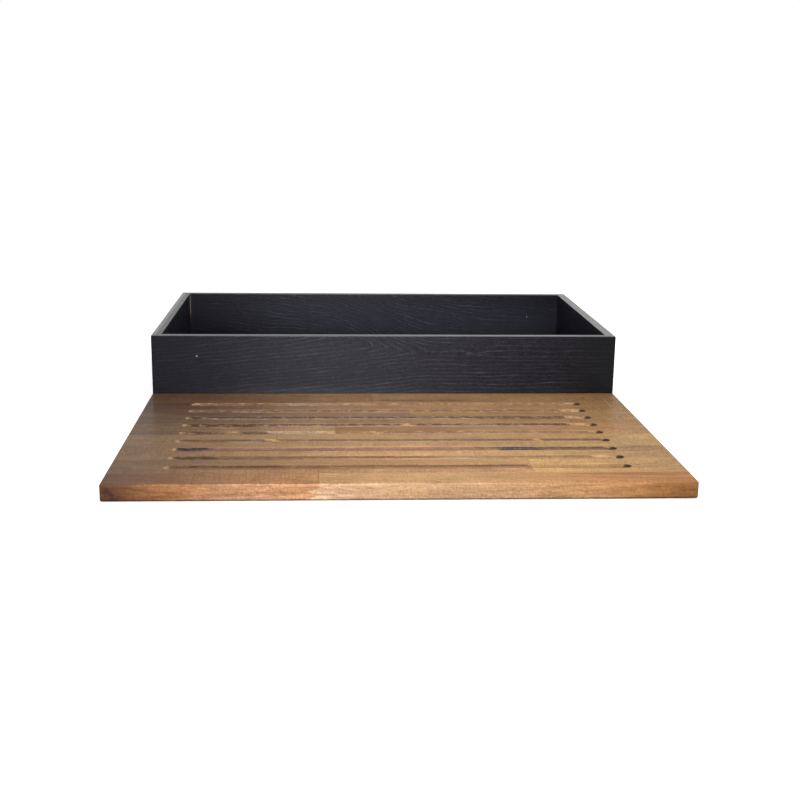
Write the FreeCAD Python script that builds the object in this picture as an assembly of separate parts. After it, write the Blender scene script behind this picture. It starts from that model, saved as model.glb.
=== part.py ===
"""Open-topped bread box in black-stained ash, with its lid, a grooved cutting board, laid in front.

The frame's origin is on the table, in the middle of the whole footprint. X runs along the
board's grain, Y runs from the board at the front to the box at the rear, and Z is up.
Every size is in millimetres.
"""
import FreeCAD, Part
import os

from FreeCAD import Vector

# Box
box_width = 500.0
box_depth = 300.0
box_height = 80.0
wall = 10.0
corner_round = 1.5
rim_ease = 0.7

# Bottom panel, held in a slot that runs round the inside of the four walls
panel_thickness = 4.0
panel_height = 8.0
panel_slot_depth = 5.0
panel_edge_gap = 0.5
panel_top_gap = 0.2

# Blind splines that key the mitred corners
spline_thickness = 3.0
spline_width = 8.0
spline_shift_inward = 1.0
spline_below_rim = 12.0
spline_above_slot = 4.0
glue_gap = 0.1

# Cutting board, which is the lid
board_thickness = 17.0
front_lip = 20.0
seat_depth = 2.0
seat_clearance = 0.5
board_corner_round = 1.5
board_top_ease = 0.8
board_bottom_round = 2.0
field_ease = 0.5

# Crumb grooves in the board's top
groove_count = 9
groove_pitch = 28.0
groove_width = 12.0
groove_depth = 3.5
groove_side_margin = 46.0

# Staves that the board is glued up from: rows from the rear to the front, and for each row
# the places of its end joints along the board, as shares of its width from the left
front_row_width = 30.0
row_joints = (
    (0.47,),
    (0.24, 0.69),
    (0.54, 0.86),
    (0.39,),
    (0.28, 0.78),
    (0.64,),
    (0.73,),
    (0.15, 0.36),
)

# Finger joints between the staves of a row, which show on the board's front and rear edges
finger_length = 9.5
finger_pitch = 5.6
finger_tip = 0.8
finger_count = 2
first_finger_below_top = 6.8

# Gap between the board's rear edge and the box's front when the board lies on the table
rest_gap = 0.5

# Sizes and places that follow
board_width = box_width
board_depth = box_depth + front_lip
total_depth = board_depth + rest_gap + box_depth
board_front = -total_depth / 2
board_rear = board_front + board_depth
box_front = board_rear + rest_gap
box_rear = box_front + box_depth
box_left = -box_width / 2
box_right = box_width / 2
board_left = -board_width / 2
board_right = board_width / 2
row_width = (board_depth - front_row_width) / (len(row_joints) - 1)

# How far a cutting tool reaches past the surface that it cuts through
overrun = 5.0


def block(x_low, x_high, y_low, y_high, z_low, z_high):
    """Rectangular solid between two opposite corners."""
    corner = Vector(x_low, y_low, z_low)
    return Part.makeBox(x_high - x_low, y_high - y_low, z_high - z_low, corner)


def prism(outline, direction):
    """Solid swept along a straight line from a closed outline of points."""
    wire = Part.makePolygon(outline + outline[:1])
    return Part.Face(wire).extrude(direction)


def is_upright(edge):
    """True for an edge that runs along Z."""
    box = edge.BoundBox
    return box.ZLength > max(box.XLength, box.YLength)


def lies_at(edge, height):
    """True for an edge that lies level at the given height."""
    box = edge.BoundBox
    return abs(box.ZMin - height) < 0.01 and abs(box.ZMax - height) < 0.01


def round_edges(shape, radius, chosen):
    """The shape with every edge that chosen picks rounded to the radius."""
    return shape.makeFillet(radius, [edge for edge in shape.Edges if chosen(edge)])


def export(name, solids):
    """Write one sub-part, made of one solid or a group of separate solids."""
    shape = solids[0] if len(solids) == 1 else Part.makeCompound(solids)
    shape.exportStep(os.path.join("parts", name + ".step"))


def clean_solid(shape):
    """The single solid inside a boolean result, with split faces merged."""
    return shape.removeSplitter().Solids[0]


# Box: the four walls as one frame, before the mitres part them
def wall_frame():
    """The four walls together, with rounded corners and an eased rim."""
    outer = block(box_left, box_right, box_front, box_rear, 0, box_height)
    outer = round_edges(outer, corner_round, is_upright)
    inner = block(box_left + wall, box_right - wall, box_front + wall, box_rear - wall,
                  -overrun, box_height + overrun)
    frame = outer.cut(inner)
    frame = round_edges(frame, rim_ease, lambda edge: lies_at(edge, box_height))
    return frame.cut(panel_slot())


def panel_slot():
    """The space that the bottom panel's slot takes out of the walls."""
    reach = wall - panel_slot_depth
    slot_top = panel_height + panel_thickness + panel_top_gap
    return block(box_left + reach, box_right - reach, box_front + reach, box_rear - reach,
                 panel_height, slot_top)


def bottom_panel():
    """Thin panel that floats in the slot and rests on its lower face."""
    reach = wall - panel_slot_depth + panel_edge_gap
    return block(box_left + reach, box_right - reach, box_front + reach, box_rear - reach,
                 panel_height, panel_height + panel_thickness)


def wall_zones():
    """For each wall, the wedge between the mitre planes of its two corners."""
    past = overrun
    inside = wall + overrun
    outer_corners = {
        "front_left": Vector(box_left - past, box_front - past, 0),
        "front_right": Vector(box_right + past, box_front - past, 0),
        "rear_right": Vector(box_right + past, box_rear + past, 0),
        "rear_left": Vector(box_left - past, box_rear + past, 0),
    }
    inner_corners = {
        "front_left": Vector(box_left + inside, box_front + inside, 0),
        "front_right": Vector(box_right - inside, box_front + inside, 0),
        "rear_right": Vector(box_right - inside, box_rear - inside, 0),
        "rear_left": Vector(box_left + inside, box_rear - inside, 0),
    }
    wall_ends = {
        "front_wall": ("front_left", "front_right"),
        "right_wall": ("front_right", "rear_right"),
        "back_wall": ("rear_right", "rear_left"),
        "left_wall": ("rear_left", "front_left"),
    }
    zones = {}
    for name, (start, end) in wall_ends.items():
        outline = [outer_corners[start], outer_corners[end], inner_corners[end],
                   inner_corners[start]]
        zones[name] = prism(outline, Vector(0, 0, box_height))
    return zones


def corner_splines(gap):
    """One upright strip across each mitre, smaller by the gap on every side."""
    across = spline_width / 2 - gap
    along = spline_thickness / 2 - gap
    low = panel_height + panel_thickness + panel_top_gap + spline_above_slot + gap
    high = box_height - spline_below_rim - gap
    inset = wall / 2 + spline_shift_inward
    places = (
        (box_left + inset, box_front + inset, 45),
        (box_right - inset, box_front + inset, -45),
        (box_right - inset, box_rear - inset, 45),
        (box_left + inset, box_rear - inset, -45),
    )
    strips = []
    for x, y, mitre_angle in places:
        strip = block(-along, along, -across, across, low, high)
        strip.rotate(Vector(0, 0, 0), Vector(0, 0, 1), mitre_angle)
        strip.translate(Vector(x, y, 0))
        strips.append(strip)
    return strips


def make_box():
    """Walls, bottom panel and splines of the box, by name."""
    frame = wall_frame()
    for slot in corner_splines(0):
        frame = frame.cut(slot)
    parts = {name: [clean_solid(frame.common(zone))] for name, zone in wall_zones().items()}
    parts["bottom_panel"] = [bottom_panel()]
    parts["corner_splines"] = corner_splines(glue_gap)
    return parts


# Board: the whole lid first, and then its staves
def board_blank():
    """The lid as glued up and shaped, with the step that seats it in the box."""
    slab = block(board_left, board_right, board_front, board_rear, seat_depth, board_thickness)
    slab = round_edges(slab, board_corner_round, is_upright)
    slab = round_edges(slab, board_top_ease, lambda edge: lies_at(edge, board_thickness))
    slab = round_edges(slab, board_bottom_round, lambda edge: lies_at(edge, seat_depth))
    return slab.fuse(seat_field())


def seat_field():
    """The raised middle of the underside, which drops into the box's opening."""
    step = wall + seat_clearance
    field = block(board_left + step, board_right - step,
                  board_front + front_lip + step, board_rear - step,
                  0, seat_depth)
    return round_edges(field, field_ease, lambda edge: lies_at(edge, 0))


def crumb_groove(y_middle):
    """Round-bottomed groove with round ends, as a ball-nosed cutter leaves it."""
    radius = (groove_width ** 2 / 4 + groove_depth ** 2) / (2 * groove_depth)
    x_start = board_left + groove_side_margin + groove_width / 2
    x_end = board_right - groove_side_margin - groove_width / 2
    z_axis = board_thickness - groove_depth + radius
    start = Vector(x_start, y_middle, z_axis)
    end = Vector(x_end, y_middle, z_axis)
    middle = Part.makeCylinder(radius, x_end - x_start, start, Vector(1, 0, 0))
    balls = [Part.makeSphere(radius, start), Part.makeSphere(radius, end)]
    return middle.fuse(balls)


def crumb_grooves():
    """The evenly spaced grooves, centred on the board."""
    y_centre = (board_front + board_rear) / 2
    half_span = (groove_count - 1) * groove_pitch / 2
    return [crumb_groove(y_centre - half_span + index * groove_pitch)
            for index in range(groove_count)]


def finger_line(x_joint):
    """Zigzag from above the board to below it, where two staves of a row meet."""
    x_root = x_joint - finger_length
    shoulder = (finger_pitch - finger_tip) / 2
    line = [(x_joint, board_thickness + overrun)]
    for index in range(finger_count):
        z_tip = board_thickness - first_finger_below_top - index * finger_pitch
        line.append((x_joint, z_tip + shoulder))
        line.append((x_root, z_tip + finger_tip / 2))
        line.append((x_root, z_tip - finger_tip / 2))
        line.append((x_joint, z_tip - shoulder))
    line.append((x_joint, -overrun))
    return line


def stave_zone(left_line, right_line, y_low, y_high):
    """The length of a row between two end lines, as a solid across the row's width."""
    outline = [Vector(x, y_low, z) for x, z in left_line + right_line[::-1]]
    return prism(outline, Vector(0, y_high - y_low, 0))


def end_line(x_end):
    """Straight end, beyond the side of the board."""
    return [(x_end, board_thickness + overrun), (x_end, -overrun)]


def make_board():
    """The staves of the board, by name."""
    board = board_blank()
    for groove in crumb_grooves():
        board = board.cut(groove)
    board = board.removeSplitter()
    end_names = {2: ("left", "right"), 3: ("left", "middle", "right")}
    parts = {}
    y_high = board_rear
    for row, joints in enumerate(row_joints, start=1):
        is_front_row = row == len(row_joints)
        y_low = board_front if is_front_row else y_high - row_width
        lines = [end_line(board_left - overrun)]
        lines += [finger_line(board_left + share * board_width) for share in joints]
        lines += [end_line(board_right + overrun)]
        for index, place in enumerate(end_names[len(joints) + 1]):
            zone = stave_zone(lines[index], lines[index + 1], y_low, y_high)
            parts[f"stave_{row}_{place}"] = [clean_solid(board.common(zone))]
        y_high = y_low
    return parts


def main():
    os.makedirs("parts", exist_ok=True)
    for make in (make_box, make_board):
        for name, solids in make().items():
            export(name, solids)
            volume = sum(solid.Volume for solid in solids)
            print(f"{name}: {len(solids)} solid(s), {volume:.0f} cubic mm")


main()
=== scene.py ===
"""Looks of a bread box in black-stained ash and of its lid, a grooved board of oiled acacia.

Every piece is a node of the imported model. Each one gets a wood of its own, with rings, fibres
and pores that run through its whole thickness, so that faces, edges and ends agree.
Lengths in the woods are in millimetres, as the pieces are drawn, and everything else is in metres.
"""

import math
import random

import bpy
from mathutils import Matrix, Vector


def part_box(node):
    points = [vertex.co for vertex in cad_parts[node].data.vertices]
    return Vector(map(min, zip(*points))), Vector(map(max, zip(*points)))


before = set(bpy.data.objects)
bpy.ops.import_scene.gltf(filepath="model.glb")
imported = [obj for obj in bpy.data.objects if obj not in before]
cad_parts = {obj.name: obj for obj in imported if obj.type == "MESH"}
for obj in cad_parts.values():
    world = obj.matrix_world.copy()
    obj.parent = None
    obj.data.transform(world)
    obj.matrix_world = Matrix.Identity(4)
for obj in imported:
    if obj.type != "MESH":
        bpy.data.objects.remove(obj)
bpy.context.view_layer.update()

# Corners that the woods and the camera are set out from, in metres
box_low, box_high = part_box("front_wall")
staves = sorted(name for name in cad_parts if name.startswith("stave"))
board_low = Vector([min(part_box(name)[0][axis] for name in staves) for axis in range(3)])
board_high = Vector([max(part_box(name)[1][axis] for name in staves) for axis in range(3)])

# The same places in millimetres, for the woods
mm_per_metre = 1000.0
box_front = mm_per_metre * box_low.y
box_side = mm_per_metre * box_high.x
box_rim = mm_per_metre * box_high.z
board_left = mm_per_metre * board_low.x
board_right = mm_per_metre * board_high.x
board_front = mm_per_metre * board_low.y
board_rear = mm_per_metre * board_high.y
board_top = mm_per_metre * board_high.z

# Camera: the photograph is 800 pixels wide, and its centre is the picture's centre
image_width = 800
focal_pixels = 1220.0
sensor_width = 36.0
nearest_seen = 0.01
camera_left_of_middle = 0.064
camera_before_box = 1.286
camera_height = 0.326
camera_down = math.radians(13.80)
camera_right = math.radians(3.56)
camera_roll = math.radians(0.80)

# World and floor: the floor glows to the camera, so that it fades into the white backdrop
white = (1.0, 1.0, 1.0, 1.0)
ambient_level = 0.19
backdrop_level = 1.0
floor_half_width = 40.0
floor_drop = 0.0002
floor_grey = (0.60, 0.60, 0.60, 1.0)
floor_glow = 0.84
floor_fade_start = 0.5
floor_fade_end = 1.3

# Lamps
front_lamp = {"place": (-0.06, -1.70, 0.36), "target": (-0.01, -0.15, 0.02), "size": 0.35,
              "power": 1.7, "colour": (0.95, 0.97, 1.0), "spread": math.radians(40)}
rear_lamp = {"place": (0.40, 0.95, 1.15), "target": (0.0, -0.10, 0.0), "size": 0.5,
             "power": 6.2, "colour": (1.0, 0.97, 0.93)}
side_lamp = {"place": (0.18, -0.28, 0.95), "target": (0.0, -0.15, 0.0), "size": 0.4,
             "power": 4.4, "colour": (1.0, 0.94, 0.86)}


class Graph:
    """The nodes of a material or of the world, made by short calls that return sockets."""

    def __init__(self, owner):
        owner.use_nodes = True
        self.owner = owner
        self.tree = owner.node_tree
        self.tree.nodes.clear()

    def feed(self, socket, value):
        """Link a socket, or set it to a plain value."""
        if isinstance(value, bpy.types.NodeSocket):
            self.tree.links.new(value, socket)
        else:
            socket.default_value = value

    def add(self, kind, inputs=(), output=0, **settings):
        """One node; inputs maps its sockets, by name or number, to values or links."""
        node = self.tree.nodes.new("ShaderNode" + kind)
        for name, value in settings.items():
            setattr(node, name, value)
        for key, value in dict(inputs).items():
            self.feed(node.inputs[key], value)
        return node.outputs[output]

    def math(self, operation, *values):
        return self.add("Math", enumerate(values), operation=operation)

    def vector(self, operation, *values):
        output = 1 if operation == "LENGTH" else 0
        return self.add("VectorMath", enumerate(values), output, operation=operation)

    def split(self, vector):
        """The three parts of a vector."""
        node = self.add("SeparateXYZ", {0: vector}).node
        return node.outputs[0], node.outputs[1], node.outputs[2]

    def join(self, x, y, z):
        return self.add("CombineXYZ", {0: x, 1: y, 2: z})

    def smooth(self, value, start, end, low=0.0, high=1.0):
        """Turns smoothly from low to high as value goes from start to end."""
        inputs = {0: value, 1: start, 2: end, 3: low, 4: high}
        return self.add("MapRange", inputs, interpolation_type="SMOOTHSTEP")

    def noise(self, place, size, detail=2.0, roughness=0.5, seed=0.0):
        """Noise whose features have the given size along each axis, in millimetres."""
        scaled = self.vector("DIVIDE", place, size)
        moved = self.vector("ADD", scaled, (seed, seed * 0.37, seed * 0.71))
        return self.add("TexNoise", {"Vector": moved, "Scale": 1.0, "Detail": detail,
                                     "Roughness": roughness})

    def mix(self, factor, first, second):
        """Colour between first and second."""
        return self.add("Mix", {0: factor, 6: first, 7: second}, output=2, data_type="RGBA")

    def brighten(self, colour, factor):
        """The colour times a factor."""
        node = self.add("VectorMath", {0: colour}, operation="SCALE").node
        self.feed(node.inputs[3], factor)
        return node.outputs[0]

    def around_one(self, value, spread):
        """A factor that swings round one as value, from 0 to 1, swings round a half."""
        return self.math("MULTIPLY_ADD", value, 2.0 * spread, 1.0 - spread)

    def end_with(self, shader, kind):
        """Link the shader to the tree's output, which is a Material or a World one."""
        output = self.tree.nodes.new("ShaderNodeOutput" + kind)
        self.tree.links.new(shader, output.inputs["Surface"])


# What all the woods share: short ripples in the rings as a share of the long waves, and the
# roughness of the clear coat
ripple_share = 0.34
coat_roughness = 0.22


def millimetres(graph):
    """The place on the piece at rest, in millimetres."""
    place = graph.add("TexCoord", output=3)
    return graph.vector("MULTIPLY", place, (mm_per_metre,) * 3)


def ring_distance(graph, grain, heart, narrowing, wobble, seed):
    """Distance from the heart of the tree, in millimetres, counted across the growth rings.

    heart is the place of the heart line across the grain. narrowing is added to the distance, so
    where it changes along the grain, a face cut beside the heart shows nested arches.
    """
    across, through = graph.split(grain)[1:]
    high = graph.math("SUBTRACT", across, heart[0])
    deep = graph.math("SUBTRACT", through, heart[1])
    radius = graph.math("SQRT", graph.math("MULTIPLY_ADD", high, high,
                                           graph.math("MULTIPLY", deep, deep)))
    waves = graph.noise(grain, (80.0, 26.0, 26.0), 2.0, 0.5, seed)
    ripples = graph.noise(grain, (24.0, 7.0, 7.0), 2.0, 0.5, seed + 5.0)
    distance = graph.math("ADD", radius, narrowing)
    distance = graph.math("MULTIPLY_ADD", waves, wobble, distance)
    return graph.math("MULTIPLY_ADD", ripples, wobble * ripple_share, distance)


def along_rings(graph, grain, distance):
    """Coordinates that follow the rings, so that streaks drawn in them run with the figure."""
    along, across, through = graph.split(grain)
    return graph.join(along, distance, graph.math("MULTIPLY_ADD", through, 0.5,
                                                  graph.math("MULTIPLY", across, 0.15)))


def spot(graph, place, centre, size, raggedness=0.0, seed=0.0):
    """One inside an oval with soft edges, zero outside; size is its half length on each axis."""
    offset = graph.vector("DIVIDE", graph.vector("SUBTRACT", place, centre), size)
    reach = graph.vector("LENGTH", offset)
    if raggedness:
        ragged = graph.noise(place, tuple(0.5 * length for length in size), 3.0, 0.6, seed)
        reach = graph.math("MULTIPLY_ADD", graph.math("SUBTRACT", ragged, 0.5), raggedness, reach)
    return graph.smooth(reach, 1.0, 0.55)


def finish_wood(graph, colour, roughness, height, relief, **constants):
    """The shader of a wood; relief is the depth of its surface texture in millimetres."""
    bump = graph.add("Bump", {"Strength": 1.0, "Distance": relief / mm_per_metre,
                              "Height": height})
    shader = graph.add("BsdfPrincipled", {"Base Color": colour, "Roughness": roughness,
                                          "Normal": bump})
    for name, value in constants.items():
        shader.node.inputs[name.replace("_", " ")].default_value = value
    graph.end_with(shader, "Material")


def paint(node_name, material):
    """Give a node of the model this material."""
    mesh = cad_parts[node_name].data
    mesh.materials.clear()
    mesh.materials.append(material)


# Black-stained ash
stain_black = (0.0024, 0.0023, 0.0050, 1.0)
stain_worn = (0.062, 0.065, 0.088, 1.0)
painted_low_light = (0.0085, 0.0090, 0.0120)
bluer_shade_tint = (0.95, 0.95, 1.16)
dust_white = (0.75, 0.75, 0.75, 1.0)
bare_ash = (0.30, 0.22, 0.17, 1.0)
rubbed_ash = (0.130, 0.130, 0.127, 1.0)
ash_relief = 0.09
ash_specular = 0.06
ash_coat = 0.36

# Figure of the front wall: where its arches come to a point, how round and how slender they are,
# and the line that they are nested about, which climbs to the left
front_arch_point = 40.0
front_arch_rounding = 30.0
front_arch_narrowing = 0.27
front_heart_height = 61.0
front_heart_depth = 4.0
front_heart_climb = -0.17

# Specks of dust and bare wood on the box, as x, y and z
front_speck = (-202.0, 10.25, 58.0)
back_speck = (200.0, 300.25, 51.0)
bare_corner = (-239.6, 299.9, 74.0)


def painted_end_shade(graph, x):
    """Painted shade along the box: less of the paler grain near its ends, so that the ends are
    darker.
    """
    left = graph.smooth(x, -box_side, -90.0, 0.30, 1.0)
    right = graph.smooth(x, 90.0, box_side, 1.0, 0.35)
    return graph.math("MULTIPLY", left, right)


def black_ash(name, axes, figure, spacing, wobble, seed, rub=None, marks=None):
    """Open-pored ash under a black stain: rings of coarse pores between smooth late wood.

    axes says which axes of the model run along, across and through the piece. figure and marks
    are functions: figure gives the heart's place and the rings' narrowing along the piece, and
    marks paints what is only in one place. rub says between which places through the piece the
    rim goes from stained to rubbed.
    """
    graph = Graph(bpy.data.materials.new("ash_" + name))
    place = millimetres(graph)
    parts = graph.split(place)
    grain = graph.join(*[parts[axis] for axis in axes])
    heart, narrowing = figure(graph, parts[axes[0]])
    distance = ring_distance(graph, grain, heart, narrowing, wobble, seed)
    flow = along_rings(graph, grain, distance)
    ring = graph.math("FRACT", graph.math("DIVIDE", distance, spacing))
    rim = graph.math("MULTIPLY", graph.smooth(ring, 0.26, 0.07), graph.smooth(ring, 0.0, 0.07))
    early = graph.smooth(ring, 0.70, 0.0)
    fading = graph.smooth(graph.noise(flow, (70.0, 9.0, 9.0), 2.0, 0.5, seed + 9.0), 0.40, 0.66)
    streaks = graph.smooth(graph.noise(flow, (22.0, 0.9, 0.9), 3.0, 0.6, seed + 11.0), 0.44, 0.68)
    dashes = graph.smooth(graph.noise(flow, (6.0, 0.5, 0.5), 2.0, 0.5, seed + 17.0), 0.48, 0.66)
    mottle = graph.noise(flow, (2.4, 1.6, 1.6), 2.0, 0.6, seed + 29.0)

    line = graph.math("MULTIPLY", rim, graph.math("MULTIPLY_ADD", fading, 0.70, 0.10))
    line = graph.math("MULTIPLY", line, graph.math("MULTIPLY_ADD", streaks, 0.55, 0.35))
    worn_and_shaded = graph.math("MULTIPLY_ADD", graph.math("MULTIPLY", streaks, early), 0.24, line)
    worn_and_shaded = graph.math("MULTIPLY_ADD", dashes, 0.16, worn_and_shaded)
    worn_and_shaded = graph.math("MULTIPLY_ADD", graph.math("SUBTRACT", mottle, 0.44), 0.48, worn_and_shaded)
    # Painted shade: the paler grain is cut back towards the box's ends
    worn_and_shaded = graph.math("MULTIPLY", graph.math("MAXIMUM", worn_and_shaded, 0.0), painted_end_shade(graph, parts[0]))
    colour = graph.mix(worn_and_shaded, stain_black, stain_worn)
    if rub:
        rubbed = graph.smooth(parts[2], box_rim - 0.5, box_rim - 0.1)
        rubbed = graph.math("MULTIPLY", rubbed, graph.smooth(parts[axes[2]], *rub))
        rubbed = graph.math("MULTIPLY", rubbed, graph.smooth(streaks, 1.1, -0.1, 0.3, 1.0))
        colour = graph.mix(rubbed, colour, rubbed_ash)
    if marks:
        colour = marks(graph, place, colour)

    pores = graph.math("MULTIPLY", dashes, graph.math("MULTIPLY_ADD", early, 0.8, 0.2))
    roughness = graph.math("MULTIPLY_ADD", pores, 0.20, 0.40)
    height = graph.math("MULTIPLY_ADD", pores, -1.0, graph.math("MULTIPLY", rim, -0.4))
    finish_wood(graph, colour, roughness, height, ash_relief, Specular_IOR_Level=ash_specular,
                Coat_Weight=ash_coat, Coat_Roughness=coat_roughness)
    return graph.owner


def even_figure(high, deep, slope):
    """Rings round a straight heart that narrow steadily along the grain."""
    return lambda graph, along: ((high, deep), graph.math("MULTIPLY", along, slope))


def front_figure(graph, along):
    """Arches that open to the left and climb out of the wall, and level lines to their right."""
    before = graph.math("SMOOTH_MIN", graph.math("SUBTRACT", along, front_arch_point), 0.0,
                        front_arch_rounding)
    high = graph.math("MULTIPLY_ADD", before, front_heart_climb, front_heart_height)
    narrowing = graph.math("MULTIPLY", before, front_arch_narrowing)
    return (high, box_front + front_heart_depth), narrowing


def back_figure(graph, along):
    """Lines that sink to the right, with a steep bend near the middle of the wall."""
    bend = graph.smooth(along, -70.0, 70.0, 0.0, -34.0)
    return (150.0, 310.0), graph.math("MULTIPLY_ADD", along, -0.10, bend)


def front_shade_and_dust(graph, place, colour):
    """Painted shade, as a bluer and darker left half and a darker right end, and a speck of dust
    near the left end.
    """
    x = graph.split(place)[0]
    left = graph.smooth(x, 60.0, -60.0)
    # Painted shade towards both ends of the wall: bluer and darker on the left, darker at the right
    # end
    colour = graph.mix(left, colour, graph.vector("MULTIPLY", colour, bluer_shade_tint))
    colour = graph.brighten(colour, graph.smooth(x, 60.0, -60.0, 1.08, 0.78))
    colour = graph.brighten(colour, graph.smooth(x, 175.0, 245.0, 1.0, 0.40))
    speck = spot(graph, place, front_speck, (0.9, 2.0, 0.9))
    return graph.mix(graph.math("MULTIPLY", speck, 0.45), colour, dust_white)


def back_light_shade_and_marks(graph, place, colour):
    """Painted light low down and to the right, painted shade at both ends, dust, and bare wood in
    the corner.
    """
    x, _, z = graph.split(place)
    # Painted light: a faint glow added low down and towards the right of the wall
    low_light_amount = graph.math("MULTIPLY", graph.smooth(x, -240.0, -40.0, 0.15, 1.0),
                      graph.smooth(z, 75.0, 35.0, 0.30, 1.9))
    colour = graph.vector("ADD", colour, graph.brighten(painted_low_light, low_light_amount))
    # Painted shade at both ends of the wall
    colour = graph.brighten(colour, graph.smooth(x, -240.0, -110.0, 0.70, 1.0))
    colour = graph.brighten(colour, graph.smooth(x, 185.0, 240.0, 1.0, 0.72))
    speck = spot(graph, place, back_speck, (0.7, 2.0, 0.7))
    colour = graph.mix(graph.math("MULTIPLY", speck, 0.5), colour, dust_white)
    bare = spot(graph, place, bare_corner, (1.1, 1.1, 34.0), 0.4, 3.0)
    return graph.mix(graph.math("MULTIPLY", bare, 0.45), colour, bare_ash)


# Oiled acacia, as (dark, middle, light) of each tone
acacia_tones = {
    "golden": ((0.24, 0.110, 0.038), (0.39, 0.208, 0.082), (0.50, 0.285, 0.122)),
    "pale": ((0.30, 0.148, 0.056), (0.47, 0.268, 0.112), (0.57, 0.350, 0.162)),
    "brown": ((0.11, 0.050, 0.022), (0.25, 0.130, 0.058), (0.33, 0.185, 0.085)),
    "red": ((0.22, 0.075, 0.024), (0.43, 0.185, 0.066), (0.54, 0.265, 0.105)),
}
pore_brown = (0.060, 0.028, 0.013, 1.0)
knot_brown = (0.095, 0.030, 0.012, 1.0)
red_tint = (0.98, 0.74, 0.44)
streak_red = (0.26, 0.085, 0.030, 1.0)
browner_tint = (0.80, 0.72, 0.62)
left_end_shade = (0.52, 0.52, 0.60, 1.0)
right_end_tint = (0.86, 0.83, 0.74, 1.0)
acacia_relief = 0.06
acacia_specular = 0.15
acacia_coat = 0.15
first_stave_seed = 40

# Painted light and shade on the board's front face: how it is tinted against the top, from the left
# end to the right end
front_left_light_tint = (1.42, 1.40, 1.52, 1.0)
front_joint_light_tint = (1.17, 1.36, 2.00, 1.0)
front_middle_light_tint = (0.74, 0.77, 0.94, 1.0)
front_right_light_tint = (0.80, 0.85, 1.10, 1.0)

# Crumb grooves, in millimetres
groove_pitch = 28.0
groove_count = 9
groove_half_width = 6.0
groove_margin = 46.0
groove_end = board_right - groove_margin
rear_groove = (board_front + board_rear) / 2 + groove_pitch * (groove_count - 1) / 2

# For each stave its tone, how that is changed in red, green and blue, and how much brighter it
# gets along the stave; row 1 is at the rear
stave_looks = {
    "stave_1_left": ("golden", (0.59, 0.55, 0.54), 0.35),
    "stave_1_right": ("golden", (0.80, 0.82, 0.94), 0.10),
    "stave_2_left": ("brown", (0.68, 0.66, 0.71), 0.45),
    "stave_2_middle": ("golden", (0.73, 0.75, 0.81), 0.45),
    "stave_2_right": ("golden", (0.78, 0.78, 0.80), -0.20),
    "stave_3_left": ("golden", (0.56, 0.59, 0.71), 0.25),
    "stave_3_middle": ("golden", (0.74, 0.78, 0.76), 0.03),
    "stave_3_right": ("golden", (0.78, 0.82, 0.82), 0.25),
    "stave_4_left": ("golden", (0.77, 0.80, 0.92), 0.60),
    "stave_4_right": ("golden", (0.87, 0.85, 0.88), 0.24),
    "stave_5_left": ("golden", (0.90, 0.97, 1.06), 0.15),
    "stave_5_middle": ("pale", (0.82, 0.83, 0.80), 0.00),
    "stave_5_right": ("pale", (0.91, 0.94, 0.86), 0.05),
    "stave_6_left": ("pale", (0.89, 0.87, 0.85), 0.48),
    "stave_6_right": ("pale", (0.89, 0.89, 0.80), -0.20),
    "stave_7_left": ("golden", (0.89, 0.90, 0.85), 0.55),
    "stave_7_right": ("pale", (1.05, 1.06, 0.91), -0.30),
    "stave_8_left": ("red", (0.60, 0.57, 0.47), 0.75),
    "stave_8_middle": ("red", (0.85, 0.84, 0.73), 0.25),
    "stave_8_right": ("pale", (1.01, 0.97, 0.92), -0.05),
}


def end_tint(graph, place):
    """Painted shade: the board is greyer and darker towards its left end, and a little browner and
    darker at its right.
    """
    x = graph.split(place)[0]
    left = graph.mix(graph.smooth(x, -270.0, 0.0), left_end_shade, white)
    right = graph.mix(graph.smooth(x, 150.0, board_right), white, right_end_tint)
    return graph.vector("MULTIPLY", left, right)


def on_front_face(graph, place):
    """One on the board's front face, zero on its top."""
    return graph.smooth(graph.split(place)[1], board_front + 1.4, board_front + 0.7)


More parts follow.
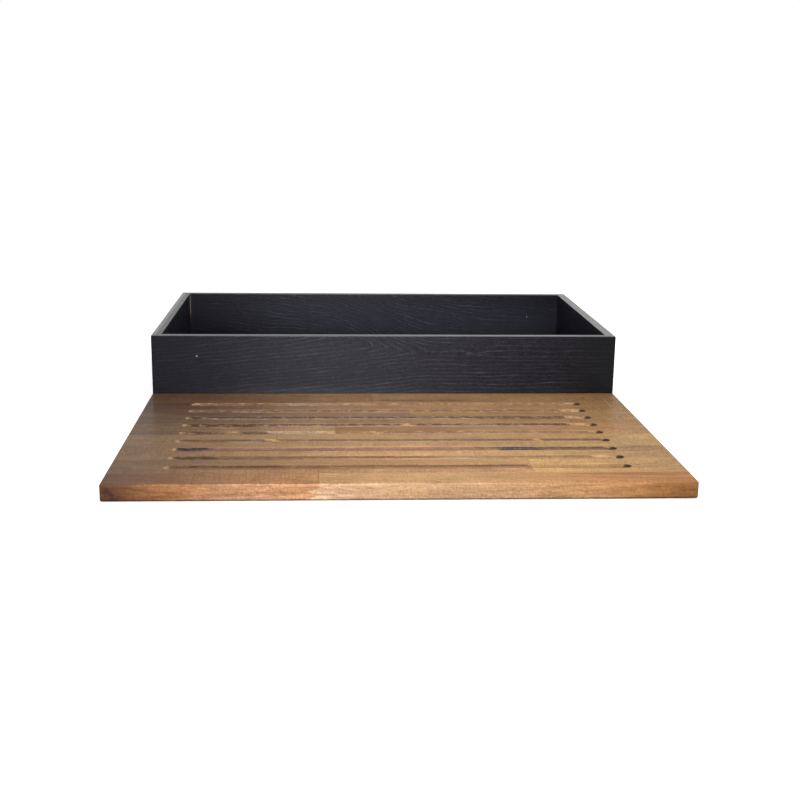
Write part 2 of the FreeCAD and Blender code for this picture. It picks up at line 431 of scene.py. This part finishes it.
def front_face(graph, place, colour):
    """Front face: skewed figure, painted tints bluer than the top, painted highlight on its arris.
    """
    x, _, z = graph.split(place)
    facing = on_front_face(graph, place)
    # Painted light and shade: the face is tinted against the top, lighter at the left and darker in
    # the middle and at the right
    tint = graph.mix(graph.smooth(x, -210.0, -130.0), front_left_light_tint, front_joint_light_tint)
    tint = graph.mix(graph.smooth(x, -140.0, 30.0), tint, front_middle_light_tint)
    tint = graph.mix(graph.smooth(x, 60.0, 200.0), tint, front_right_light_tint)
    colour = graph.mix(facing, colour, graph.vector("MULTIPLY", colour, tint))
    bent = graph.noise(place, (30.0, 60.0, 9.0), 2.0, 0.5, 85.0)
    lean = graph.math("MULTIPLY", z, graph.math("MULTIPLY_ADD", bent, 6.0, -1.6))
    skewed = graph.vector("ADD", place, graph.join(lean, 0.0, 0.0))
    figure = graph.noise(skewed, (9.0, 9.0, 2.0), 3.0, 0.6, 83.0)
    spread = graph.smooth(x, -80.0, 0.0, 1.5, 0.9)
    figure = graph.math("MULTIPLY", graph.math("SUBTRACT", figure, 0.5), spread)
    # Painted highlight along the top arris of the face
    arris_highlight = graph.smooth(z, 14.9, 15.8, 0.0, 0.14)
    # Painted shade: darker on the bottom arris, towards the right end and in a lower band from the
    # middle rightwards; a little lighter towards the top
    underside_shade = graph.smooth(z, 2.8, 4.6, 0.30, 1.0)
    right_end = graph.smooth(x, 195.0, board_right, 1.0, 0.80)
    below_arris = graph.smooth(z, 14.5, 11.5)
    band = graph.math("MULTIPLY", below_arris, graph.smooth(x, -90.0, -40.0, 0.0, -0.11))
    dim = graph.math("MULTIPLY", graph.math("MULTIPLY", underside_shade, right_end),
                     graph.math("ADD", band, 1.0))
    shade = graph.math("MULTIPLY", graph.smooth(z, 5.0, 15.0, 1.02, 1.08), dim)
    shade = graph.math("MULTIPLY", shade, graph.math("ADD", graph.math("ADD", figure, 1.0), arris_highlight))
    shade = graph.math("MULTIPLY_ADD", facing, graph.math("SUBTRACT", shade, 1.0), 1.0)
    return graph.brighten(colour, shade)


def groove_place(graph, place):
    """How far in a groove a point lies, how far to the groove's rear, and the groove's number."""
    x, y, z = graph.split(place)
    count = graph.math("DIVIDE", graph.math("SUBTRACT", rear_groove, y), groove_pitch)
    number = graph.math("ROUND", count)
    rearward = graph.math("MULTIPLY", graph.math("SUBTRACT", number, count), groove_pitch)
    below = graph.math("SUBTRACT", board_top, z)
    depth = graph.math("MULTIPLY", graph.smooth(below, 0.10, 0.45), graph.smooth(below, 5.0, 4.0))
    reach = graph.smooth(graph.math("ABSOLUTE", x), groove_end + 1.0, groove_end)
    spread = graph.smooth(graph.math("ABSOLUTE", rearward), groove_half_width + 1.0,
                          groove_half_width)
    inside = graph.math("MULTIPLY", graph.math("MULTIPLY", depth, reach), spread)
    middle = graph.math("SUBTRACT", number, (groove_count - 1) / 2)
    in_field = graph.math("LESS_THAN", graph.math("ABSOLUTE", middle), groove_count / 2)
    return graph.math("MULTIPLY", inside, in_field), rearward, number


# Stains, torn wood, painted shade and painted light in the grooves; a colour counts as dark when
# its parts add up to less than dark_sum
dark_sum = 0.5
knot_and_shade_black = (0.028, 0.013, 0.009, 1.0)
ink_blue = (0.020, 0.015, 0.027, 1.0)
burn_and_shade_brown = (0.050, 0.021, 0.012, 1.0)
lip_shade_brown = (0.125, 0.058, 0.035, 1.0)
purple_brown = (0.20, 0.098, 0.070, 1.0)
red_brown = (0.26, 0.115, 0.055, 1.0)
torn_and_lit_grey = (0.42, 0.345, 0.29, 1.0)
torn_and_glint_pale = (0.60, 0.46, 0.34, 1.0)
glint_white = (0.50, 0.49, 0.48, 1.0)
fresh_and_lit_tan = (0.52, 0.305, 0.155, 1.0)

# Marks in the grooves. Groove 1 is at the rear; the stretch is in millimetres from the board's left
# edge; the part is the rear lip, the floor below it, or all of the groove. The dark marks on the
# rear lips are painted shade, the grey marks on the floors are torn wood drawn lighter as painted
# light, and the white and grey stretch of groove 1 from 140 to 226 mm is a painted glint
groove_marks = (
    (1, 48, 142, "all", fresh_and_lit_tan, 0.42),
    (1, 140, 172, "all", glint_white, 0.65),
    (1, 170, 226, "all", torn_and_lit_grey, 0.60),
    (1, 225, 237, "all", fresh_and_lit_tan, 0.95),
    (1, 238, 285, "floor", torn_and_lit_grey, 0.50),
    (1, 285, 425, "floor", fresh_and_lit_tan, 0.45),
    (1, 424, 444, "all", fresh_and_lit_tan, 0.80),
    (1, 60, 440, "lip", lip_shade_brown, 0.60),
    (2, 48, 110, "all", fresh_and_lit_tan, 0.38),
    (2, 95, 245, "floor", torn_and_lit_grey, 0.75),
    (2, 240, 428, "floor", fresh_and_lit_tan, 0.42),
    (2, 426, 445, "all", fresh_and_lit_tan, 0.85),
    (2, 52, 425, "lip", lip_shade_brown, 0.95),
    (3, 50, 428, "lip", burn_and_shade_brown, 1.0),
    (3, 70, 335, "floor", torn_and_lit_grey, 0.70),
    (3, 334, 428, "floor", burn_and_shade_brown, 0.50),
    (3, 430, 445, "all", fresh_and_lit_tan, 0.75),
    (4, 50, 135, "all", burn_and_shade_brown, 0.85),
    (4, 135, 264, "lip", burn_and_shade_brown, 0.85),
    (4, 264, 273, "all", fresh_and_lit_tan, 0.75),
    (4, 273, 428, "lip", burn_and_shade_brown, 1.0),
    (4, 113, 428, "floor", torn_and_lit_grey, 0.65),
    (4, 430, 446, "all", fresh_and_lit_tan, 0.75),
    (5, 56, 84, "all", burn_and_shade_brown, 0.75),
    (5, 103, 131, "all", burn_and_shade_brown, 0.65),
    (5, 132, 188, "all", torn_and_lit_grey, 0.38),
    (5, 188, 390, "floor", torn_and_lit_grey, 0.45),
    (5, 229, 238, "all", fresh_and_lit_tan, 0.70),
    (5, 238, 440, "lip", lip_shade_brown, 0.60),
    (6, 50, 134, "lip", burn_and_shade_brown, 0.65),
    (6, 90, 130, "floor", torn_and_lit_grey, 0.55),
    (6, 134, 141, "all", fresh_and_lit_tan, 0.45),
    (6, 141, 384, "lip", lip_shade_brown, 0.90),
    (6, 384, 390, "all", fresh_and_lit_tan, 0.75),
    (6, 390, 447, "lip", lip_shade_brown, 1.0),
    (6, 141, 440, "floor", torn_and_lit_grey, 0.35),
    (7, 50, 322, "all", purple_brown, 0.95),
    (7, 50, 64, "all", ink_blue, 1.0),
    (7, 62, 82, "lip", ink_blue, 0.9),
    (7, 318, 334, "all", red_brown, 0.95),
    (7, 326, 340, "lip", burn_and_shade_brown, 0.6),
    (7, 338, 384, "all", ink_blue, 0.85),
    (7, 384, 447, "floor", purple_brown, 0.9),
    (7, 384, 447, "lip", burn_and_shade_brown, 0.75),
    (8, 50, 104, "all", burn_and_shade_brown, 0.45),
    (8, 50, 90, "lip", burn_and_shade_brown, 0.80),
    (8, 100, 285, "lip", lip_shade_brown, 0.90),
    (8, 285, 427, "lip", lip_shade_brown, 0.60),
    (8, 285, 334, "floor", torn_and_lit_grey, 0.85),
    (8, 428, 444, "all", fresh_and_lit_tan, 0.90),
    (9, 50, 366, "lip", lip_shade_brown, 1.0),
    (9, 52, 150, "lip", burn_and_shade_brown, 0.70),
    (9, 50, 366, "floor", red_brown, 0.60),
    (9, 366, 447, "all", red_brown, 0.55),
)


def reaches(groove, start, end, low, high):
    """True if a stretch of a groove lies at least partly on the stave from low to high."""
    middle = rear_groove - (groove - 1) * groove_pitch
    beside = middle - groove_half_width > high.y or middle + groove_half_width < low.y
    past = board_left + start > high.x or board_left + end < low.x
    return not (beside or past)


def marked_stretches(graph, place, worn_and_shaded, grit, rearward, number, low, high):
    """The groove marks that reach the stave from low to high, with slanted and ragged ends."""
    x = graph.split(place)[0]
    streak = graph.noise(place, (9.0, 1.5, 1.5), 2.0, 0.6, 73.0)
    ragged = graph.noise(place, (14.0, 60.0, 60.0), 3.0, 0.6, 77.0)
    lip = graph.smooth(graph.math("MULTIPLY_ADD", ragged, 0.6, rearward), 4.2, 5.1)
    parts = {"lip": lip, "floor": graph.math("SUBTRACT", 1.0, lip), "all": 1.0}
    slanted = graph.math("MULTIPLY_ADD", graph.math("SUBTRACT", rearward, 5.0), 4.0, x)
    from_left = graph.math("SUBTRACT", graph.math("MULTIPLY_ADD", ragged, 20.0, slanted),
                           board_left + 10.0)
    mixed = graph.math("MULTIPLY_ADD", grit, 0.5, graph.math("MULTIPLY", streak, 0.5))
    dark_cover = graph.smooth(mixed, 0.34, 0.54, 0.70, 1.2)
    pale_cover = graph.smooth(mixed, 0.40, 0.56, 0.20, 1.15)
    for groove, start, end, part, mark_colour, strength in groove_marks:
        if not reaches(groove, start, end, low, high):
            continue
        chosen = graph.math("COMPARE", number, groove - 1.0, 0.5)
        stretch = graph.math("MULTIPLY", graph.smooth(from_left, start - 3.0, start + 3.0),
                             graph.smooth(from_left, end + 3.0, end - 3.0))
        cover = graph.math("MULTIPLY", graph.math("MULTIPLY", chosen, stretch), parts[part])
        broken = dark_cover if sum(mark_colour[:3]) < dark_sum else pale_cover
        cover = graph.math("MULTIPLY", cover, graph.math("MULTIPLY", broken, strength))
        worn_and_shaded = graph.mix(graph.math("MINIMUM", cover, 1.0), worn_and_shaded, mark_colour)
    return worn_and_shaded


def torn_and_glint_flecks(graph, place, worn_and_shaded, number):
    """Pale flecks, torn wood with painted glints, and dark pits between them, fewer in the front
    grooves.
    """
    flecks = graph.noise(place, (7.0, 0.9, 1.2), 3.0, 0.7, 79.0)
    rear_ones = graph.smooth(number, 5.5, 3.0, 0.35, 1.0)
    torn_and_glint = graph.math("MULTIPLY", graph.smooth(flecks, 0.53, 0.63), rear_ones)
    worn_and_shaded = graph.mix(graph.math("MULTIPLY", torn_and_glint, 0.46), worn_and_shaded, torn_and_glint_pale)
    pits = graph.math("MULTIPLY", graph.smooth(flecks, 0.46, 0.37), rear_ones)
    return graph.mix(graph.math("MULTIPLY", pits, 0.55), worn_and_shaded, burn_and_shade_brown)


def groove_ends(graph, place, worn_and_shaded, rearward):
    """Painted shade as a round dark spot in the right end wall, and painted light on the left end
    wall.
    """
    x = graph.split(place)[0]
    from_end = graph.math("DIVIDE", graph.math("SUBTRACT", x, groove_end - 1.0), 6.8)
    from_middle = graph.math("DIVIDE", graph.math("SUBTRACT", rearward, 3.0), 4.0)
    round_end = graph.vector("LENGTH", graph.join(from_end, from_middle, 0.0))
    right_end = graph.smooth(round_end, 1.0, 0.72)
    worn_and_shaded = graph.mix(right_end, worn_and_shaded, knot_and_shade_black)
    left_end_light = graph.smooth(x, -groove_end + 5.0, -groove_end + 1.0)
    return graph.mix(graph.math("MULTIPLY", left_end_light, 0.6), worn_and_shaded, fresh_and_lit_tan)


def groove_wear(graph, place, colour, low, high):
    """Grooves with stains and torn wood, painted shade and painted light; low and high bound the
    stave.
    """
    inside, rearward, number = groove_place(graph, place)
    grit = graph.noise(place, (1.8, 1.6, 1.6), 2.0, 0.6, 71.0)
    worn_and_shaded = graph.brighten(colour, graph.math("MULTIPLY_ADD", grit, 0.6, 0.62))
    worn_and_shaded = marked_stretches(graph, place, worn_and_shaded, grit, rearward, number, low, high)
    worn_and_shaded = torn_and_glint_flecks(graph, place, worn_and_shaded, number)
    worn_and_shaded = groove_ends(graph, place, worn_and_shaded, rearward)
    return graph.mix(inside, colour, worn_and_shaded)


def acacia(node_name, tone, change, drift, seed):
    """Oiled acacia for one stave: soft bands, short fibres, fine pores and faint ring lines."""
    chance = random.Random(seed)
    low, high = (corner * mm_per_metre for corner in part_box(node_name))
    middle = (low + high) / 2
    dark, mid, light = ([part * factor for part, factor in zip(rgb, change)] + [1.0]
                        for rgb in acacia_tones[tone])
    graph = Graph(bpy.data.materials.new("acacia_" + node_name))
    place = millimetres(graph)
    grain = graph.vector("SUBTRACT", place, tuple(middle))
    heart = (chance.uniform(-25, 25), chance.choice((-1, 1)) * chance.uniform(14, 40))
    slope = chance.choice((-1, 1)) * chance.uniform(0.02, 0.08)
    narrowing = graph.math("MULTIPLY", graph.split(grain)[0], slope)
    distance = ring_distance(graph, grain, heart, narrowing, 8.0, float(seed))
    flow = along_rings(graph, grain, distance)
    ring = graph.math("FRACT", graph.math("DIVIDE", distance, chance.uniform(3.5, 5.5)))
    late = graph.smooth(ring, 0.35, 1.0)
    bands = graph.smooth(graph.noise(flow, (120.0, 7.0, 7.0), 3.0, 0.55, seed + 1.0), 0.28, 0.72)
    clouds = graph.noise(flow, (30.0, 9.0, 9.0), 3.0, 0.6, seed + 4.0)
    fibres = graph.noise(flow, (13.0, 0.75, 0.75), 3.0, 0.6, seed + 3.0)
    flecks = graph.noise(flow, (1.7, 2.6, 2.6), 2.0, 0.6, seed + 8.0)
    pores = graph.smooth(graph.noise(flow, (6.0, 0.38, 0.38), 2.0, 0.5, seed + 6.0), 0.58, 0.72)

    colour = graph.mix(bands, mid, light)
    colour = graph.mix(graph.math("MULTIPLY", late, 0.20), colour, dark)
    colour = graph.mix(graph.math("MULTIPLY", graph.smooth(fibres, 0.52, 0.30), 0.55), colour, dark)
    shown = graph.smooth(on_front_face(graph, place), 0.0, 1.0, 0.50, 0.25)
    colour = graph.mix(graph.math("MULTIPLY", pores, shown), colour, pore_brown)
    shade = graph.math("MULTIPLY", graph.around_one(flecks, 0.52), graph.around_one(clouds, 0.32))
    along = graph.math("DIVIDE", graph.split(grain)[0], high.x - low.x)
    shade = graph.math("MULTIPLY", shade, graph.math("MULTIPLY_ADD", along, drift, 1.0))
    colour = graph.brighten(colour, shade)
    for mark in stave_marks.get(node_name, ()):
        colour = mark(graph, place, colour)
    if high.x < board_right - 1.0:
        colour = end_joint(graph, place, colour, high.x)
    # Painted shade towards the board's ends
    colour = graph.vector("MULTIPLY", colour, end_tint(graph, place))
    colour = front_face(graph, place, colour)
    colour = groove_wear(graph, place, colour, low, high)

    roughness = graph.math("MULTIPLY_ADD", fibres, 0.20, 0.58)
    roughness = graph.math("MULTIPLY_ADD", pores, 0.10, roughness)
    height = graph.math("MULTIPLY_ADD", pores, -1.0, graph.math("MULTIPLY", fibres, 0.5))
    finish_wood(graph, colour, roughness, height, acacia_relief,
                Specular_IOR_Level=acacia_specular, Coat_Weight=acacia_coat,
                Coat_Roughness=coat_roughness)
    return graph.owner


def end_joint(graph, place, colour, joint):
    """A thin dark line on the top, where the next stave of the row begins."""
    line = graph.smooth(graph.split(place)[0], joint - 1.0, joint - 0.3, 0.0, 0.50)
    on_top = graph.smooth(on_front_face(graph, place), 1.0, 0.0)
    return graph.mix(graph.math("MULTIPLY", line, on_top), colour, pore_brown)


def from_left_and_rear(x, y):
    """A place on the board's top, given from its left and rear edges in millimetres."""
    return (board_left + x, board_rear - y, board_top)


def dark_end_knot(graph, place, colour):
    """The dark figure at the front left corner, with a small knot in it."""
    x, _, z = graph.split(place)
    shade = graph.math("MULTIPLY", on_front_face(graph, place),
                       graph.smooth(x, -210.0, -242.0, 0.0, 0.55))
    colour = graph.mix(shade, colour, knot_brown)
    leaning = graph.vector("ADD", place, graph.join(graph.math("MULTIPLY", z, 0.7), 0.0, 0.0))
    knot = spot(graph, leaning, (-236.0, board_front, 8.0), (5.5, 9.0, 6.5), 4.0, 5.0)
    return graph.mix(graph.math("MULTIPLY", knot, 0.62), colour, knot_and_shade_black)


def red_streaks(graph, place, colour):
    """Reddish heartwood figure at the right end of the front row."""
    x = graph.split(place)[0]
    reddened = graph.vector("MULTIPLY", colour, red_tint)
    colour = graph.mix(graph.smooth(x, 30.0, board_right), colour, reddened)
    low = graph.smooth(graph.noise(place, (45.0, 3.0, 3.0), 2.0, 0.6, 19.0), 0.50, 0.62)
    low = graph.math("MULTIPLY", low, graph.smooth(x, 110.0, 225.0, 0.0, 0.32))
    colour = graph.mix(low, colour, streak_red)
    sinking = graph.vector("ADD", place, graph.join(0.0, graph.math("MULTIPLY", x, 0.045), 0.0))
    streak = spot(graph, sinking, from_left_and_rear(446.0, 288.0), (66.0, 2.6, 9.0), 1.3, 9.0)
    return graph.mix(graph.math("MULTIPLY", streak, 0.75), colour, streak_red)


def grey_patch(graph, place, colour):
    """A dark grey patch near the right end of row 6."""
    patch = spot(graph, place, from_left_and_rear(474.0, 216.0), (26.0, 13.0, 14.0), 2.0, 11.0)
    return graph.mix(graph.math("MULTIPLY", patch, 0.28), colour, pore_brown)


def red_mark(graph, place, colour):
    """A dark reddish mark in the rear row."""
    mark = spot(graph, place, from_left_and_rear(157.0, 12.0), (12.0, 5.0, 8.0), 0.9, 13.0)
    return graph.mix(graph.math("MULTIPLY", mark, 0.75), colour, streak_red)


def brown_stretch(graph, place, colour):
    """Browner wood right of the joint in row 4."""
    stretch = spot(graph, place, from_left_and_rear(240.0, 152.0), (110.0, 18.0, 40.0), 0.7, 15.0)
    browner = graph.vector("MULTIPLY", colour, browner_tint)
    return graph.mix(graph.math("MULTIPLY", stretch, 0.9), colour, browner)


def smoky_streaks(graph, place, colour):
    """Dark streaks along the grain, in the left third of rows 2 to 4."""
    streaks = graph.smooth(graph.noise(place, (70.0, 5.0, 5.0), 3.0, 0.6, 23.0), 0.47, 0.66)
    left = graph.smooth(graph.split(place)[0], -70.0, -190.0, 0.0, 0.42)
    return graph.mix(graph.math("MULTIPLY", streaks, left), colour, pore_brown)


def smudge(graph, place, colour):
    """A darker place between the second and third grooves, near their left ends."""
    mark = spot(graph, place, from_left_and_rear(88.0, 89.0), (72.0, 9.0, 10.0), 0.6, 21.0)
    return graph.mix(graph.math("MULTIPLY", mark, 0.34), colour, pore_brown)


def rear_scratch(graph, place, colour):
    """A pale line across the first two rows, near their right ends."""
    line = spot(graph, place, from_left_and_rear(484.0, 43.0), (1.7, 24.0, 12.0))
    return graph.mix(graph.math("MULTIPLY", line, 0.26), colour, torn_and_glint_pale)


def front_scratch(graph, place, colour):
    """A pale line across rows 6 and 7, near their right ends."""
    line = spot(graph, place, from_left_and_rear(489.0, 237.0), (2.2, 24.0, 12.0))
    return graph.mix(graph.math("MULTIPLY", line, 0.32), colour, fresh_and_lit_tan)


def dark_band(graph, place, colour):
    """A darker band along the grain, near the front of the rear row."""
    band = spot(graph, place, from_left_and_rear(285.0, 31.0), (80.0, 4.5, 12.0), 1.2, 17.0)
    return graph.mix(graph.math("MULTIPLY", band, 0.45), colour, pore_brown)


# What is painted on one stave alone, in this order
stave_marks = {
    "stave_1_left": (red_mark,),
    "stave_1_right": (dark_band, rear_scratch),
    "stave_2_left": (smoky_streaks,),
    "stave_2_right": (rear_scratch,),
    "stave_3_left": (smudge, smoky_streaks),
    "stave_4_left": (smoky_streaks,),
    "stave_4_right": (brown_stretch,),
    "stave_6_right": (grey_patch, front_scratch),
    "stave_7_right": (front_scratch,),
    "stave_8_left": (dark_end_knot,),
    "stave_8_right": (red_streaks,),
}


def paint_board():
    """Each stave has its own tone, marks and seed."""
    for index, name in enumerate(staves):
        paint(name, acacia(name, *stave_looks[name], first_stave_seed + index))


# Axes of the model that run along, across and through a piece
along_x = (0, 2, 1)
along_y = (1, 2, 0)
lying_flat = (0, 1, 2)


def paint_box():
    """Each piece has its figure along its length, with a spacing, a wobble and a seed of its own.

    A rub says where the wall's rim turns from stained to rubbed, through its thickness.
    """
    box_back = mm_per_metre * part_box("back_wall")[1].y
    front_rub = (box_front + 4.2, box_front + 7.6)
    back_rub = (box_back - 7.0, box_back - 2.0)
    left_rub = (6.0 - box_side, 2.5 - box_side)
    right_rub = (box_side - 11.0, box_side - 9.0)
    looks = {
        "front_wall": (along_x, front_figure, 4.1, 6.0, 3.0, front_rub, front_shade_and_dust),
        "back_wall": (along_x, back_figure, 4.4, 15.0, 7.0, back_rub, back_light_shade_and_marks),
        "left_wall": (along_y, even_figure(20.0, -290.0, 0.05), 4.0, 10.0, 13.0, left_rub),
        "right_wall": (along_y, even_figure(55.0, 290.0, -0.05), 4.0, 10.0, 19.0, right_rub),
        "bottom_panel": (lying_flat, even_figure(150.0, -60.0, 0.08), 4.0, 14.0, 31.0),
    }
    for name, look in looks.items():
        paint(name, black_ash(name, *look))
    paint("corner_splines", beech())


# Beech of the splines
beech_dark = (0.52, 0.34, 0.20, 1.0)
beech_light = (0.64, 0.46, 0.30, 1.0)
beech_fleck = (0.30, 0.17, 0.09, 1.0)
beech_relief = 0.03


def beech():
    """Plain pale wood with short darker flecks, for the hidden splines."""
    graph = Graph(bpy.data.materials.new("beech_splines"))
    place = millimetres(graph)
    flecks = graph.smooth(graph.noise(place, (0.5, 0.5, 2.2), 2.0, 0.5, 31.0), 0.56, 0.70)
    clouds = graph.noise(place, (6.0, 6.0, 20.0), 2.0, 0.5, 37.0)
    colour = graph.mix(clouds, beech_dark, beech_light)
    colour = graph.mix(graph.math("MULTIPLY", flecks, 0.5), colour, beech_fleck)
    roughness = graph.math("MULTIPLY_ADD", flecks, 0.15, 0.55)
    finish_wood(graph, colour, roughness, flecks, beech_relief)
    return graph.owner


# Stage
def light_path(graph):
    """One for rays from the camera or through glass, and one for rays off a glossy surface."""
    node = graph.add("LightPath").node
    direct = graph.math("MAXIMUM", node.outputs["Is Camera Ray"],
                        node.outputs["Is Transmission Ray"])
    return direct, node.outputs["Is Glossy Ray"]


def make_world():
    """White to the camera and in reflections, and dim as a source of light."""
    world = bpy.data.worlds.new("studio")
    bpy.context.scene.world = world
    graph = Graph(world)
    direct, glossy = light_path(graph)
    strength = graph.math("MULTIPLY_ADD", graph.math("MAXIMUM", direct, glossy),
                          backdrop_level - ambient_level, ambient_level)
    graph.end_with(graph.add("Background", {"Color": white, "Strength": strength}), "World")


def floor_paper():
    """Paper that takes the shadows and glows to the camera, most of all far from the pieces."""
    graph = Graph(bpy.data.materials.new("floor_paper"))
    direct = light_path(graph)[0]
    away = graph.vector("LENGTH", graph.add("TexCoord", output=3))
    fade = graph.smooth(away, floor_fade_start, floor_fade_end, 1.0, 1.0 / floor_glow)
    glow = graph.math("MULTIPLY", graph.math("MULTIPLY", direct, floor_glow), fade)
    diffuse = graph.add("BsdfDiffuse", {"Color": floor_grey})
    emission = graph.add("Emission", {"Color": white, "Strength": glow})
    graph.end_with(graph.add("AddShader", {0: diffuse, 1: emission}), "Material")
    return graph.owner


def make_floor():
    half = floor_half_width
    mesh = bpy.data.meshes.new("floor")
    corners = [(-half, -half, 0), (half, -half, 0), (half, half, 0), (-half, half, 0)]
    mesh.from_pydata(corners, [], [(0, 1, 2, 3)])
    mesh.materials.append(floor_paper())
    floor = bpy.data.objects.new("floor", mesh)
    floor.location.z = board_low.z - floor_drop
    bpy.context.scene.collection.objects.link(floor)


def area_lamp(name, place, target, size, power, colour, spread=math.pi):
    """A soft square lamp at place that points at target; a grid in front narrows its spread."""
    data = bpy.data.lights.new(name, "AREA")
    data.spread = spread
    data.shape = "SQUARE"
    data.size = size
    data.energy = power
    data.color = colour
    lamp = bpy.data.objects.new(name, data)
    lamp.location = place
    direction = Vector(target) - Vector(place)
    lamp.rotation_euler = direction.to_track_quat("-Z", "Y").to_euler()
    bpy.context.scene.collection.objects.link(lamp)


def make_lights():
    area_lamp("front", **front_lamp)
    area_lamp("rear", **rear_lamp)
    area_lamp("side", **side_lamp)


def make_camera():
    """The photograph's view: turned, then tipped down, then rolled."""
    turn = Matrix.Rotation(-camera_right, 3, "Z")
    tip = Matrix.Rotation(-camera_down, 3, "X")
    roll = Matrix.Rotation(-camera_roll, 3, "Y")
    axes = turn @ tip @ roll
    right, forward, up = axes.col[0], axes.col[1], axes.col[2]
    data = bpy.data.cameras.new("camera")
    data.sensor_width = sensor_width
    data.lens = sensor_width * focal_pixels / image_width
    data.clip_start = nearest_seen
    camera = bpy.data.objects.new("camera", data)
    turned = Matrix((right, up, -forward)).transposed().to_4x4()
    place = Vector((-camera_left_of_middle, box_low.y - camera_before_box, camera_height))
    camera.matrix_world = Matrix.Translation(place) @ turned
    bpy.context.scene.collection.objects.link(camera)
    bpy.context.scene.camera = camera


paint_box()
paint_board()
make_world()
make_floor()
make_lights()
make_camera()
bpy.context.scene.view_settings.view_transform = "Standard"
